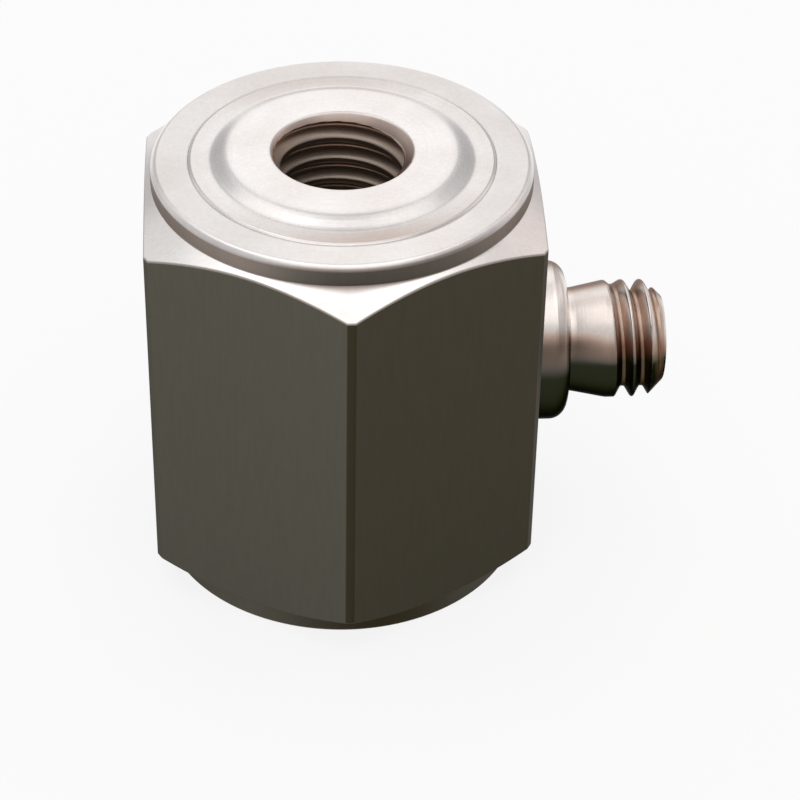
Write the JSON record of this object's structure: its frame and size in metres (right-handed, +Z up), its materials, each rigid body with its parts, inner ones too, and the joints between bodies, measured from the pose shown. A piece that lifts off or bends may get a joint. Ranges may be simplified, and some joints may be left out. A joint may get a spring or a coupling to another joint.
{
  "type": "force sensor",
  "caption": "Hexagonal stainless steel force sensor with a raised, threaded load cap, a round threaded foot and a threaded coaxial jack on one flat.",
  "frame": {"origin": "centre of the foot's resting face, on the load axis", "axes": "+Z up the load axis to the load cap, +X out along the coaxial jack"},
  "size_m": [0.0216, 0.0182, 0.0191],
  "materials": {
    "body_steel": "satin, milled flats and turned bevels",
    "cap_steel": "fine turned",
    "jack_steel": "fine turned",
    "ring_steel": "lapped",
    "quartz": "lapped",
    "copper_alloy": "turned",
    "gold_plate": "plated",
    "lead_wire": "drawn",
    "white_plastic": "waxy",
    "amber_film": "satin film",
    "board_laminate": "satin",
    "chip_resin": "matte",
    "chip_ceramic": "matte",
    "seal_glass": "fused"
  },
  "bodies": {
    "root": {"hex_housing": "body_steel", "load_cap": "cap_steel", "preload_stud": "copper_alloy", "centring_sleeve": "white_plastic", "lower_pressure_ring": "ring_steel", "lower_quartz_ring": "quartz", "signal_electrode": "gold_plate", "upper_quartz_ring": "quartz", "upper_pressure_ring": "ring_steel", "insulating_sleeve": "amber_film", "electrode_lead": "lead_wire", "ground_lead": "lead_wire", "output_lead": "lead_wire", "amplifier_board": "board_laminate", "transistor": "chip_resin", "gate_resistor": "chip_ceramic", "bias_resistor": "chip_ceramic", "range_capacitor": "chip_ceramic", "jack_shell": "jack_steel", "glass_seal": "seal_glass", "jack_insulator": "white_plastic", "jack_contact": "gold_plate"}
  },
  "joints": []
}
